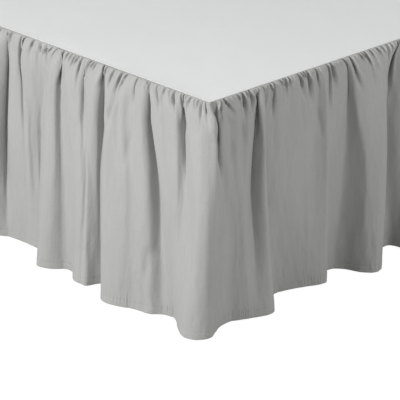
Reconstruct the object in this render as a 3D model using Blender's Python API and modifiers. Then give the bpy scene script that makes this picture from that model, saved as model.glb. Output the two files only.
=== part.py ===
"""A gathered bed skirt on a twin bed base: a flat deck sewn to three hanging ruffles, with the
box spring, timber base and feet that carry it. Metres, +Z up, the head of the bed towards +Y."""

import math
from collections import namedtuple

import bmesh
import bpy
import numpy as np
from mathutils import Vector

# Driving dimensions, in metres.
DECK_WIDTH = 0.9906
DECK_LENGTH = 1.905
DECK_TOP = 0.387
DECK_RIM = 0.010
CLOTH = 0.0016
SEAM_HEIGHT = 0.3862
HEM_HEIGHT = 0.004
SEAM_GAP = 0.0003

BOX_SPRING_HEIGHT = 0.2286
BOX_SPRING_INSET = 0.007
BOX_SPRING_BEVEL = 0.012
RAIL_HEIGHT = 0.060
RAIL_THICKNESS = 0.030
RAIL_INSET = 0.070
SLAT_COUNT = 5
SLAT_WIDTH = 0.070
SLAT_THICKNESS = 0.018
FOOT_RADIUS = 0.026
FOOT_TAPER = 0.019
FOOT_ROWS = 3
JOINT_GAP = 0.0003
STRIP_GAP = 0.0022

# The folds reach past the foot of the bed and not past its head, so the bed sits this far
# towards +Y of the middle of the whole.
BED_CENTRE_Y = 0.0309

# Depths below the seam at which the fold tables say where each fold stands. Between the seam and
# the upper one the cloth springs out early: NEAR_SHARE of the way by NEAR_DEPTH.
NEAR_DEPTH = 0.024
NEAR_SHARE = 0.62
UPPER_DEPTH = 0.065
MIDDLE_DEPTH = 0.185

# The folds round the foot corner at +X. One row a crest, valley or slope, in order along the bed's
# edge. "at" runs along the edge from the corner and "out" away from the bed, in millimetres; past
# the corner, "at" is negative. "round" is 1 on a plain slope and more where the cloth turns fully.
Fold = namedtuple("Fold", "seam_at upper_at upper_out middle_at middle_out hem_at hem_out round")
FOOT_FOLDS = (
    (560, 574, 24, 561, 36, 566, 46, 1.4),
    (498, 497, 28, 500, 34, 520, 23, 1.1),
    (486, 483, 10, 493, 11, 503, 12, 1.0),
    (478, 478, 6, 489, 8, 490, 9, 1.0),
    (468, 462, 16, 470, 18, 473, 7, 1.1),
    (441, 443, 9, 435, 16, 446, 6, 1.0),
    (428, 425, 14, 424, 14, 430, 4.5, 1.0),
    (373, 388, 4, 407, 2, 398, 2, 1.1),
    (352, 363, 20, 373, 31, 376, 47, 1.1),
    (347, 347, 29, 347, 43, 362, 50, 1.1),
    (342, 343, 14, 338, 28, 334, 31, 1.0),
    (332, 328, 18, 320, 24, 318, 23.5, 1.0),
    (298, 293, 22, 281, 34, 292, 38, 1.0),
    (288, 284, 19, 269, 35.5, 282, 44, 1.0),
    (278, 276, 14, 261, 32, 268, 44.5, 1.0),
    (262, 254, 24, 251, 29, 252, 40, 1.0),
    (242, 240, 12, 243, 14, 237, 24, 1.0),
    (236, 237, 5, 235, 12, 228, 25, 1.1),
    (222, 213, 27, 208, 42, 200, 56, 1.1),
    (208, 198, 31, 189, 48.5, 183, 61, 1.2),
    (180, 174, 26, 150, 43, 158, 56, 1.0),
    (160, 152, 22, 133, 38.5, 143, 48, 1.0),
    (146, 128, 23, 108, 36, 119, 39, 1.1),
    (140, 124, 7, 101, 17, 102, 26, 1.0),
    (132, 118, 8, 92, 15, 91, 17, 1.0),
    (114, 91, 20, 65, 33, 74, 15.5, 1.0),
)
CORNER_LOBE_FOLDS = (
    (96, 74, 19, 52, 34.5, 62, 19, 1.0),
    (74, 50, 20, 36, 32.5, 42, 32, 1.0),
    (57, 46, 8, 24, 30, 22, 46, 1.0),
    (48, 36, 13, 8, 35, 8, 53, 1.0),
    (33, 13, 22, -5, 42, -6, 52, 1.0),
    (18, -9, 25.5, -24, 45, -19, 44, 1.1),
    (8, -20, 21.5, -35, 37, -26, 33, 1.1),
    (1, -29, 8, -38, 19, -28, 24, 1.0),
)
# Past the lobe, measured along the long side: below the corner of the deck a pleat runs in behind
# a narrow roll, and opens out further down.
CORNER_PLEAT_FOLDS = (
    (2, 8, 3.5, -6, 31, -15, 24.5, 1.0),
    (10, 15, 1.5, 12, 18, 3, 14.5, 1.0),
    (16.5, 21, 5.5, 26, 11, 21, 9.5, 1.0),
    (24, 27, 9, 36, 11.5, 38, 8.5, 1.0),
    (36, 37, 6, 44, 13.5, 49, 12.5, 1.0),
)
STRIP_JOIN_ROW = 1
SIDE_FOLDS = (
    (50, 50, 9, 50, 14, 54, 15, 1.0),
    (74, 74, 10, 66, 15, 68, 22, 1.0),
    (92, 91, 2.5, 83, 4.5, 83, 28, 1.1),
    (101, 96, 16, 93, 22, 99, 33.5, 1.0),
    (106, 101, 16, 105, 28, 112, 33.5, 1.2),
    (114, 108, 4.5, 113, 11, 126, 17, 1.0),
    (130, 130, 4, 131, 2.5, 150, -11, 1.0),
    (190, 190, 8, 187, 10, 210, -1.5, 1.0),
    (245, 247, 15, 249, 19, 258, 15, 1.3),
    (262, 262, 7, 263, 10, 273, -3, 1.0),
    (290, 300, 6, 292, 3, 298, -15.5, 1.0),
    (304, 311, 6, 313, 14, 315, 0, 1.0),
    (320, 323, 20, 325, 36, 330, 32, 1.0),
    (354, 352, 29, 349, 45, 348, 46, 1.0),
    (390, 373, 28, 366, 42, 362, 43, 1.1),
    (424, 384, 14, 376, 20, 374, 22, 1.0),
    (430, 396, 3, 388, 4, 394, -2, 1.1),
    (436, 416, 6, 412, 4, 434, -14, 1.0),
    (447, 432, 21, 427, 23, 450, -3, 1.0),
    (457, 448, 24, 441, 30, 456, 17, 1.2),
)

# Folds out of the tables' reach repeat with this mean spacing, unevenly, from a fixed seed.
FOLD_SPACING = 52
CREST_OUT = (30, 56)
VALLEY_OUT = (-12, 18)
COLUMN_STEP = 0.018
ROW_DEPTHS = (0.0, 0.024, 0.065, 0.125, 0.215)

COLOURS = {
    "skirt_cloth": ((0.56, 0.56, 0.55), 0.9, 0.0),
    "deck_cloth": ((0.80, 0.81, 0.81), 0.9, 0.0),
    "ticking": ((0.78, 0.77, 0.74), 0.9, 0.0),
    "timber": ((0.60, 0.43, 0.26), 0.6, 0.0),
}


def clear_scene():
    for item in list(bpy.data.objects):
        bpy.data.objects.remove(item)


def material(name):
    """The Principled material of that name, made once."""
    found = bpy.data.materials.get(name)
    if found:
        return found
    colour, roughness, metallic = COLOURS[name]
    made = bpy.data.materials.new(name)
    made.use_nodes = True
    shader = made.node_tree.nodes["Principled BSDF"]
    shader.inputs["Base Color"].default_value = (*colour, 1)
    shader.inputs["Roughness"].default_value = roughness
    shader.inputs["Metallic"].default_value = metallic
    return made


def add_object(name, mesh, finish, collection):
    made = bpy.data.objects.new(name, mesh)
    made.data.materials.append(material(finish))
    collection.objects.link(made)
    return made


def box(name, low, high, finish, collection, bevel=0.0, segments=2):
    """A block between two corners, with its edges eased by a bevel."""
    shape = bmesh.new()
    bmesh.ops.create_cube(shape, size=1)
    size = Vector(high) - Vector(low)
    bmesh.ops.scale(shape, vec=size, verts=shape.verts)
    mesh = bpy.data.meshes.new(name)
    shape.to_mesh(mesh)
    shape.free()
    made = add_object(name, mesh, finish, collection)
    made.location = (Vector(low) + Vector(high)) / 2
    if bevel:
        ease = made.modifiers.new("eased edges", "BEVEL")
        ease.width = bevel
        ease.segments = segments
    return made


def from_far_end(rows, length):
    """The same folds, counted from the other end of an edge of that length."""
    return [
        row._replace(
            seam_at=length - row.seam_at, upper_at=length - row.upper_at,
            middle_at=length - row.middle_at, hem_at=length - row.hem_at,
        )
        for row in rows
    ]


def repeated_folds(start, end, rising, seed):
    """Crests and valleys by turns from start to end, uneven, as fold rows."""
    random = np.random.RandomState(seed)
    count = max(2, round((end - start) / FOLD_SPACING))
    steps = random.uniform(0.72, 1.28, count + 1)
    places = start + np.cumsum(steps)[:-1] / steps.sum() * (end - start)
    rows = []
    for place in places:
        low, high = CREST_OUT if rising else VALLEY_OUT
        hem_out = random.uniform(low, high)
        drift = random.uniform(-16, 16)
        upper_out = max(1.5, 0.55 * hem_out) if rising else random.uniform(1.5, 9)
        middle_out = max(1.5, 0.8 * hem_out) if rising else max(1.0, 0.5 * hem_out)
        rows.append(Fold(
            place, place + 0.3 * drift, upper_out, place + 0.7 * drift, middle_out,
            place + drift, hem_out, random.uniform(1.4, 1.9),
        ))
        rising = not rising
    return rows


def plan_levels(rows, corner, along, outward):
    """Fold rows as places in plan: an array of (level, row, x and y), from the seam to the hem."""
    seam_at, upper_at, upper_out, middle_at, middle_out, hem_at, hem_out = (
        np.array(rows, float)[:, :7].T / 1000
    )
    seam_out = np.full(len(rows), SEAM_GAP + CLOTH / 2 + 0.0002)
    near_at = seam_at + NEAR_SHARE * (upper_at - seam_at)
    near_out = seam_out + NEAR_SHARE * (upper_out - seam_out)
    at = np.stack((seam_at, near_at, upper_at, middle_at, hem_at))
    out = np.stack((seam_out, near_out, upper_out, middle_out, hem_out))
    return np.array(corner) + at[..., None] * np.array(along) + out[..., None] * np.array(outward)


def ruffle_path():
    """The whole ruffle in plan, from the head of the bed at -X round the foot to the head at +X:
    its levels, how round each fold is, and the rows at which one strip of cloth joins the next."""
    half = DECK_WIDTH / 2
    foot_y = BED_CENTRE_Y - DECK_LENGTH / 2
    width = DECK_WIDTH * 1000
    length = DECK_LENGTH * 1000
    lobe = [Fold(*row) for row in CORNER_LOBE_FOLDS]
    pleat = [Fold(*row) for row in CORNER_PLEAT_FOLDS]
    head_end = Fold(length - 4, length - 4, 6, length - 3, 8, length - 2, 10, 1.0)

    foot = [Fold(*row) for row in FOOT_FOLDS]
    far_lobe = from_far_end(lobe, width)
    foot_rest = repeated_folds(foot[0].seam_at, far_lobe[0].seam_at, False, 11)
    foot_rows = [*far_lobe[::-1], *foot_rest[::-1], *foot, *lobe]

    side = [Fold(*row) for row in SIDE_FOLDS]
    right_rows = [*pleat, *side, *repeated_folds(side[-1].seam_at, length, False, 5), head_end]
    left_rows = [*pleat, *repeated_folds(pleat[-1].seam_at, length, True, 23), head_end][::-1]

    edges = (
        (left_rows, (-half, foot_y), (0, 1), (-1, 0)),
        (foot_rows, (half, foot_y), (-1, 0), (0, -1)),
        (right_rows, (half, foot_y), (0, 1), (1, 0)),
    )
    levels = np.concatenate([plan_levels(*edge) for edge in edges], axis=1)
    rounds = np.array([row.round for rows, *_ in edges for row in rows])
    joins = (
        len(left_rows) - 1 - STRIP_JOIN_ROW,
        len(left_rows) + len(foot_rows) + STRIP_JOIN_ROW,
    )
    return levels, rounds, joins


def smooth_curve(knots, values, pulls, places):
    """Values at places on the curve that passes through every knot's value and leaves it in line
    with its neighbours. A pull above 1 makes the curve round the knot more fully."""
    knots = np.asarray(knots, float)
    values = np.asarray(values, float)
    slopes = np.gradient(values, axis=0) / np.gradient(knots)[:, None] * np.asarray(pulls)[:, None]
    index = np.clip(np.searchsorted(knots, places, "right") - 1, 0, len(knots) - 2)
    span = (knots[index + 1] - knots[index])[:, None]
    t = (places[:, None] - knots[index][:, None]) / span
    return (
        (2 * t**3 - 3 * t**2 + 1) * values[index]
        + (t**3 - 2 * t**2 + t) * span * slopes[index]
        + (3 * t**2 - 2 * t**3) * values[index + 1]
        + (t**3 - t**2) * span * slopes[index + 1]
    )


def strip_columns(knots, first, last):
    """Places along the path between two fold rows: each row, and even ones between rows, at most
    COLUMN_STEP apart. Where another strip goes on, the cloth stops half a gap short."""
    inside = knots[first:last + 1].copy()
    if first > 0:
        inside[0] += STRIP_GAP / 2
    if last < len(knots) - 1:
        inside[-1] -= STRIP_GAP / 2
    spans = [
        np.linspace(a, b, max(1, math.ceil((b - a) / COLUMN_STEP)), endpoint=False)
        for a, b in zip(inside, inside[1:])
    ]
    return np.concatenate((*spans, inside[-1:]))


def hanging_cloth(levels, rounds, knots, columns, depths):
    """The cloth as a grid of points, one line of them at each depth below the seam."""
    lines = np.stack([smooth_curve(knots, level, rounds, columns) for level in levels])
    level_depths = (0.0, NEAR_DEPTH, UPPER_DEPTH, MIDDLE_DEPTH, SEAM_HEIGHT - HEM_HEIGHT)
    depths = np.asarray(depths, float)
    plan = smooth_curve(level_depths, lines.reshape(5, -1), np.ones(5), depths)
    plan = plan.reshape(len(depths), len(columns), 2)
    heights = np.broadcast_to((SEAM_HEIGHT - depths)[:, None, None], (*plan.shape[:2], 1))
    return np.concatenate((plan, heights), axis=2)


def sheet_object(name, grid, collection):
    """One strip of cloth: the loft through its grid of points, given its thickness."""
    lines, columns = grid.shape[:2]
    faces = [
        (r * columns + c, (r + 1) * columns + c, (r + 1) * columns + c + 1, r * columns + c + 1)
        for r in range(lines - 1)
        for c in range(columns - 1)
    ]
    mesh = bpy.data.meshes.new(name)
    mesh.from_pydata(grid.reshape(-1, 3).tolist(), [], faces)
    mesh.shade_smooth()
    made = add_object(name, mesh, "skirt_cloth", collection)
    thick = made.modifiers.new("cloth thickness", "SOLIDIFY")
    thick.thickness = CLOTH
    thick.offset = 0


def add_ruffles(collection):
    levels, rounds, joins = ruffle_path()
    steps = np.linalg.norm(np.diff(levels, axis=1), axis=2)
    knots = np.concatenate(([0.0], np.cumsum(steps[[0, 2, 3, 4]].mean(axis=0))))
    depths = (*ROW_DEPTHS, SEAM_HEIGHT - HEM_HEIGHT)
    ends = (0, *joins, len(knots) - 1)
    for name, first, last in zip(("ruffle_left", "ruffle_foot", "ruffle_right"), ends, ends[1:]):
        columns = strip_columns(knots, first, last)
        sheet_object(name, hanging_cloth(levels, rounds, knots, columns, depths), collection)


def add_deck(collection):
    """The flat cloth on the box spring, its edge turned down at the foot and both long sides."""
    shape = bmesh.new()
    bmesh.ops.create_cube(shape, size=1)
    bmesh.ops.scale(shape, vec=(DECK_WIDTH, DECK_LENGTH, DECK_RIM), verts=shape.verts)
    open_faces = [f for f in shape.faces if f.normal.z < -0.5 or f.normal.y > 0.5]
    bmesh.ops.delete(shape, geom=open_faces, context="FACES")
    mesh = bpy.data.meshes.new("deck")
    shape.to_mesh(mesh)
    shape.free()
    made = add_object("deck", mesh, "deck_cloth", collection)
    made.location = (0, BED_CENTRE_Y, DECK_TOP - DECK_RIM / 2)
    ease = made.modifiers.new("turned edge", "BEVEL")
    ease.width = 0.003
    ease.segments = 3
    thick = made.modifiers.new("cloth thickness", "SOLIDIFY")
    thick.thickness = CLOTH
    thick.offset = -1


def add_box_spring(collection):
    half = DECK_WIDTH / 2 - BOX_SPRING_INSET
    foot = BED_CENTRE_Y - DECK_LENGTH / 2 + BOX_SPRING_INSET
    head = BED_CENTRE_Y + DECK_LENGTH / 2
    top = DECK_TOP - CLOTH - JOINT_GAP
    low = (-half, foot, top - BOX_SPRING_HEIGHT)
    box("box_spring", low, (half, head, top), "ticking", collection, BOX_SPRING_BEVEL, 3)
    return top - BOX_SPRING_HEIGHT


def add_base(top, collection):
    """Four rails on edge, with flat slats let in between the long ones."""
    x = DECK_WIDTH / 2 - RAIL_INSET
    foot = BED_CENTRE_Y - DECK_LENGTH / 2 + RAIL_INSET
    head = BED_CENTRE_Y + DECK_LENGTH / 2 - RAIL_INSET
    top = top - JOINT_GAP
    low = top - RAIL_HEIGHT
    for side, name in ((-1, "rail_left"), (1, "rail_right")):
        edges = sorted((side * x, side * (x - RAIL_THICKNESS)))
        box(name, (edges[0], foot, low), (edges[1], head, top), "timber", collection, 0.002)
    inner = x - RAIL_THICKNESS - JOINT_GAP
    for name, y in (("rail_foot", foot), ("rail_head", head - RAIL_THICKNESS)):
        box(name, (-inner, y, low), (inner, y + RAIL_THICKNESS, top), "timber", collection, 0.002)
    clear = head - foot - 2 * RAIL_THICKNESS
    step = clear / (SLAT_COUNT + 1)
    for number in range(SLAT_COUNT):
        y = foot + RAIL_THICKNESS + step * (number + 1) - SLAT_WIDTH / 2
        box(
            f"slat_{number + 1}", (-inner, y, top - SLAT_THICKNESS), (inner, y + SLAT_WIDTH, top),
            "timber", collection, 0.002,
        )
    return low, x - RAIL_THICKNESS / 2, foot, head


def add_feet(top, x, foot, head, collection):
    """Tapered round feet under the long rails."""
    height = top - JOINT_GAP
    for row in range(FOOT_ROWS):
        y = foot + FOOT_RADIUS + (head - foot - 2 * FOOT_RADIUS) * row / (FOOT_ROWS - 1)
        for side, word in ((-1, "left"), (1, "right")):
            shape = bmesh.new()
            bmesh.ops.create_cone(
                shape, cap_ends=True, segments=24, radius1=FOOT_TAPER, radius2=FOOT_RADIUS,
                depth=height,
            )
            name = f"foot_{word}_{row + 1}"
            mesh = bpy.data.meshes.new(name)
            shape.to_mesh(mesh)
            shape.free()
            mesh.shade_smooth()
            mesh.set_sharp_from_angle(angle=math.radians(40))
            made = add_object(name, mesh, "timber", collection)
            made.location = (side * x, y, height / 2)


def main():
    clear_scene()
    collection = bpy.data.collections.new("bed skirt on a bed base")
    bpy.context.scene.collection.children.link(collection)
    add_ruffles(collection)
    add_deck(collection)
    base_top = add_box_spring(collection)
    add_feet(*add_base(base_top, collection), collection)


main()
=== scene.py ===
"""The looks of a gathered bed skirt on a twin bed base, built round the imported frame: one thin
sheet of cloth for the deck and for each ruffle, on the folds of their CAD solids. +Z is up and the
head of the bed is towards +Y. Lengths are in metres, or in millimetres where a comment says so."""

import math
from collections import namedtuple

import bpy
import numpy as np
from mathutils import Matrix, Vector


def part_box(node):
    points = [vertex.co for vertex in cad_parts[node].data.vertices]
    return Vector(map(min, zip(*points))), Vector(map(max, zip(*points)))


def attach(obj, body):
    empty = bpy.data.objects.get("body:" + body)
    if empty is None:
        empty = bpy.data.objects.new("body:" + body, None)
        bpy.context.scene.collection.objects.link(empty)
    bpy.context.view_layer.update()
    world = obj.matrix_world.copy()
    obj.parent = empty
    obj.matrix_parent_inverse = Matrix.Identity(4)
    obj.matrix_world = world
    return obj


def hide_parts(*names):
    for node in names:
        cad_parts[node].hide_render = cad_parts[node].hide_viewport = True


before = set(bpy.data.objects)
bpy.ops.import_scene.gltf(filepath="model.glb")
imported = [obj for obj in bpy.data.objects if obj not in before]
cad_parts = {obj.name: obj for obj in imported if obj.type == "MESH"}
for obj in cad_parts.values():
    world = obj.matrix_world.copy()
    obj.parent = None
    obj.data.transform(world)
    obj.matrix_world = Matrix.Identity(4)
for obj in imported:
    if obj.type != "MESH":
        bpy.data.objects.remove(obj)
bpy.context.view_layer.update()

# The bed, from the frame.
DECK_LOW, DECK_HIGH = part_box("deck")
HALF = DECK_HIGH[0]
FOOT_Y = DECK_LOW[1]
HEAD_Y = DECK_HIGH[1]
DECK_TOP = DECK_HIGH[2]
WIDTH = 2 * HALF
LENGTH = HEAD_Y - FOOT_Y

# Millimetres in a metre.
MM = 1000

# The ruffle: the heights of its seam and hem, how far out from the deck's edge it is sewn on, the
# height of its strips as cut, and how many times the length of its edge each strip is.
SEAM_HEIGHT = 0.3868
HEM_HEIGHT = 0.0035
DROP = SEAM_HEIGHT - HEM_HEIGHT
SEAM_OUT = 0.0011
CUT_HEIGHT = 0.39
FOOT_FULLNESS = 1.45
SIDE_FULLNESS = 1.35
# Depths below the seam at which a fold row says where the cloth stands. Between the seam and the
# upper one the cloth springs out early: NEAR_SHARE of the way by NEAR_DEPTH.
NEAR_DEPTH = 0.024
NEAR_SHARE = 0.62
UPPER_DEPTH = 0.065
MIDDLE_DEPTH = 0.185
LEVEL_DEPTHS = (0.0, NEAR_DEPTH, UPPER_DEPTH, MIDDLE_DEPTH, DROP)
# The levels that a row states itself, from the seam to the hem.
STATED_LEVELS = [0, 2, 3, 4]

# The folds of the foot near the corner at +X. One row a crest, valley, shoulder or slope, in order
# towards the corner. "at" runs along the bed's edge from the corner and "out" away from the bed
# (mm); past the corner, "at" is negative. "round" is above 1 where the cloth turns fully.
Fold = namedtuple("Fold", "seam_at upper_at upper_out middle_at middle_out hem_at hem_out round")
FOOT_FOLDS = (
    (560, 574, 24, 561, 36, 566, 46, 1.4),
    (498, 497, 28, 500, 34, 520, 23, 1.1),
    (488, 482, 14.5, 491, 17.5, 508, 16, 1),
    (485, 485, 8.5, 495, 9.5, 500, 10.5, 1),
    (478, 478, 8.5, 489, 10.5, 490, 9, 1),
    (474, 470, 14.5, 480, 16.5, 480, 7.6, 1.1),
    (462, 454, 17, 461, 19, 466, 6.6, 1),
    (446, 444, 14, 441, 18, 452, 6, 1),
    (441, 443, 9, 435, 16, 446, 5.8, 1),
    (434, 433, 15, 426, 17, 437, 5, 1),
    (420, 417, 13, 421, 12, 424, 4, 1),
    (404, 404, 8, 414, 7, 408, 2, 1),
    (373, 388, 4, 407, 2, 398, 2, 1.1),
    (358, 376, 8, 392, 12, 386, 20, 1),
    (352, 363, 20, 373, 31, 376, 47, 1.1),
    (349.5, 351, 28.5, 348, 43, 371, 51, 1.1),
    (347, 344, 28, 337, 43, 362, 50, 1.1),
    (345, 339, 25.5, 329, 40, 348, 44, 1.1),
    (343.5, 338, 20, 326, 34.5, 338, 36, 1),
    (342, 336, 15.5, 324, 29, 330, 27, 1.1),
    (338, 329, 16, 319, 26.5, 322, 23, 1),
    (330, 319, 19, 305, 28.5, 314, 24, 1),
    (314, 304, 23, 290, 32, 304, 27, 1),
    (298, 293, 22, 281, 34, 292, 38, 1),
    (288, 284, 19, 269, 35.5, 282, 44, 1),
    (281, 281, 12, 263, 34, 272, 45, 1),
    (274, 271, 17, 259, 31, 264, 44, 1),
    (268, 263, 21, 255, 31, 254, 44, 1),
    (256, 246, 25, 248, 26.5, 249, 35, 1),
    (246, 238, 20, 243, 21.5, 245, 24, 1),
    (241, 239, 12, 243, 15.5, 240, 17, 1),
    (237, 239, 4.5, 237, 14.5, 232, 16.5, 1.1),
    (230, 224, 14, 224, 23, 216, 34, 1),
    (222, 213, 27, 208, 42, 200, 56, 1.1),
    (214, 203, 32, 196, 48.5, 188, 61, 1.2),
    (203, 192, 29, 181, 48, 178, 61, 1),
    (192, 183, 26, 166, 46, 168, 58.5, 1),
    (180, 174, 26, 150, 43, 158, 56, 1),
    (166, 163, 21, 140, 39, 148, 51, 1),
    (154, 140, 24, 125, 38, 138, 45.5, 1),
    (147, 128, 25, 110, 37, 117, 40, 1.1),
    (143, 123, 19, 103, 32, 103, 37.5, 1.1),
    (141, 124, 12, 101, 22.5, 95, 32, 1),
    (138, 125, 4, 99.5, 14, 87.5, 24.5, 1),
    (132, 118, 8, 92, 15, 79.5, 20, 1),
    (126, 111, 17, 82, 26, 73, 18.5, 1.1),
    (114, 91, 20, 65, 33, 66.5, 18, 1),
)
# The lobe of cloth that rounds the corner.
CORNER_LOBE_FOLDS = (
    (96, 74, 19, 52, 34.5, 62, 19, 1),
    (80, 53, 22, 38, 34, 47, 28, 1),
    (68, 48, 17, 32, 31, 36, 36, 1),
    (59, 47, 11, 27, 29.5, 26, 43, 1),
    (54, 48, 5, 19, 31, 17, 49, 1),
    (48, 36, 13, 8, 35, 8, 53, 1),
    (41, 24, 19, -1, 39, 0, 53.7, 1),
    (30, 8, 23, -8, 43, -9, 51, 1.1),
    (20, -6, 26, -20, 46, -17, 46, 1.1),
    (10, -11, 24.5, -30, 42.5, -23, 39, 1.1),
    (5.5, -18.5, 18, -36, 35, -27, 32, 1.1),
    (2, -25, 8, -38, 19, -28, 24, 1),
)
# Past the lobe, counted from the corner along the long side: below the corner of the deck a pleat
# runs in behind a narrow roll, and opens out further down.
CORNER_PLEAT_FOLDS = (
    (3.5, 7.5, 1, -6, 31, -15, 24.5, 1),
    (6, 9, 0.6, 4, 24, -6, 19, 1),
    (10, 10, 0.5, 12, 18, 3, 14.5, 1),
    (14, 10.8, 1.5, 19, 13.5, 12, 11, 1),
    (16.5, 11.5, 7, 26, 11, 21, 9.5, 1),
    (19, 15, 10, 32, 10.5, 31, 8.5, 1),
    (26, 25, 9.5, 38, 12, 41, 9, 1),
    (36, 37, 6, 44, 13.5, 49, 12.5, 1),
)
# The foot's strip of cloth and a side's meet at this row of the pleat, counted from 0.
STRIP_JOIN_ROW = 2
# The rest of the long side at +X.
SIDE_FOLDS = (
    (50, 50, 9, 50, 14, 54, 15, 1),
    (62, 62, 5, 58, 16, 61, 18, 1),
    (74, 74, 10, 66, 15, 68, 22, 1),
    (86, 85, 8, 79, 8.5, 75, 25, 1),
    (94, 92, 1.5, 86, 5.5, 83, 28, 1.1),
    (98, 94, 6, 88, 11.5, 91, 31, 1),
    (101, 96, 16, 90.5, 19.5, 99, 33.5, 1),
    (104, 98, 20, 95.5, 26, 107, 34.5, 1.2),
    (108, 101, 13, 103, 24.5, 116, 32, 1.1),
    (112, 105, 5, 107, 13, 123, 22, 1),
    (118, 113, 3, 113, 1.5, 131, 8, 1),
    (130, 130, 4, 131, 4.5, 150, -11, 1),
    (148, 148, 7, 149, 7, 172, -13, 1),
    (190, 190, 8, 187, 10, 210, -1.5, 1),
    (213, 214, 8, 208, 9, 228, 6.5, 1),
    (228, 230, 6, 226, 9.5, 238, 12, 1),
    (238, 241, 12, 240, 15, 247, 15, 1),
    (245, 247, 15, 249, 19, 258, 15, 1.3),
    (252, 253, 9, 256, 14, 266, 6, 1.1),
    (266, 266, 6, 266, 8, 277, -8, 1),
    (284, 284, 7, 276, 5, 288, -15, 1),
    (290, 300, 6, 292, 3, 298, -15.5, 1),
    (298, 308, 3, 304, 3, 305, -13.5, 1),
    (303, 310, 4, 310, 8, 312, -6, 1),
    (306, 312, 11, 316, 19, 318, 3, 1),
    (310, 314, 17, 321, 30, 323, 18, 1),
    (320, 323, 20, 325, 36, 330, 32, 1),
    (336, 338, 25, 337, 41, 338, 41, 1),
    (354, 352, 29, 349, 45, 348, 46, 1),
    (372, 366, 30, 361, 45.5, 357, 46, 1.1),
    (400, 377, 27, 370, 40, 366, 41, 1.1),
    (424, 384, 15, 375, 22, 372, 25, 1),
    (429, 391, 4, 382, 6, 382, 5, 1.1),
    (432, 404, 2, 400, 1.5, 408, -10, 1),
    (436, 412, 9, 408, 7, 434, -14, 1),
    (441, 419, 16.5, 414, 16, 445, -12, 1),
    (447, 428, 22, 423, 25, 450, -3, 1),
    (457, 448, 24, 441, 30, 456, 17, 1.2),
)
# The open end of a side ruffle, counted back from the head of the bed.
HEAD_END_FOLD = (4, 4, 6, 3, 8, 2, 10, 1)

# The folds away from that corner (mm): their spacing and the shares by which it varies, how far
# out crests stand at the hem, and valleys there and higher up, how far a fold moves along on its
# way down, and how round it is.
FOLD_SPACING = 52
SPACING_SHARES = (0.72, 1.28)
CREST_OUT = (30, 56)
VALLEY_OUT = (-12, 18)
VALLEY_UPPER_OUT = (1.5, 9)
FOLD_DRIFT = 16
FOLD_ROUND = (1.4, 1.9)
# The shares of that move, and of how far out a fold is at the hem, that it has higher up.
UPPER_DRIFT = 0.3
MIDDLE_DRIFT = 0.7
CREST_UPPER = 0.55
CREST_MIDDLE = 0.8
VALLEY_MIDDLE = 0.5
LEAST_CREST_OUT = 1.5
LEAST_VALLEY_OUT = 1.0
FOOT_FOLD_SEED = 11
RIGHT_FOLD_SEED = 5
LEFT_FOLD_SEED = 23

# The gathers that stand out just under the seam, near the same corner: the distance from the
# corner, how far a gather is drawn in, half its width, its length down the cloth, and how far
# along the edge its lower end has moved (mm).
Gather = namedtuple("Gather", "at sink half_width length lean")
FOOT_GATHERS = (
    (506, 4.3, 1.8, 30, 2), (496, 1.9, 1.3, 14, -2), (484, 5.6, 1.8, 26, -6),
    (473, 7.9, 2, 36, -9), (462, 1.9, 1.2, 12, 2), (452, 8.5, 2.2, 80, -8), (441, 5, 1.6, 24, 5),
    (431, 1.9, 1.2, 12, 2), (420, 3.7, 1.5, 28, 4), (405, 2.5, 1.6, 40, -10),
    (389, 7.6, 1.8, 42, -12), (373, 3.7, 1.3, 18, 1), (359, 3.7, 1.4, 16, 3),
    (343, 10.7, 2.2, 60, 8), (332, 2.5, 1.2, 16, 3), (323, 4.3, 1.4, 18, 3), (314, 4.7, 1.3, 30, 4),
    (306, 4.6, 1.5, 22, 5), (296, 5.9, 1.6, 46, 1), (286, 2.2, 1.2, 14, 2), (275, 7.9, 1.8, 30, 5),
    (268, 4.6, 1.4, 18, 3), (262, 4, 1.3, 22, 3), (252, 1.9, 1.2, 12, 1), (243, 8.3, 2.2, 36, 4),
    (235, 5.9, 1.6, 22, 5), (226, 2.2, 1.2, 14, 2), (217, 6.3, 1.7, 38, 2), (208, 2.2, 1.2, 14, 2),
    (199, 7.6, 1.8, 34, 4), (187, 6.7, 1.5, 32, 9), (175, 2.2, 1.3, 14, 2), (163, 9.1, 2.1, 48, -1),
    (151, 2.2, 1.2, 14, 1), (140, 9.7, 2.2, 70, -5), (129, 2.2, 1.2, 14, -1),
    (118, 7.6, 1.6, 38, -4), (110, 2.2, 1.2, 14, 1), (102, 3.7, 1.3, 16, 2),
    (90, 7.6, 1.7, 32, -6), (80, 6.7, 1.6, 36, 1), (72, 2.2, 1.2, 14, 1), (64, 6.7, 1.6, 34, -4),
    (51, 11.3, 2.2, 60, -1), (43, 2.8, 1.3, 20, 4), (34, 4, 1.4, 28, -6), (26, 3.4, 1.3, 22, 5),
    (19, 5.1, 1.5, 46, 2), (11, 4.3, 1.4, 32, -3),
)
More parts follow.
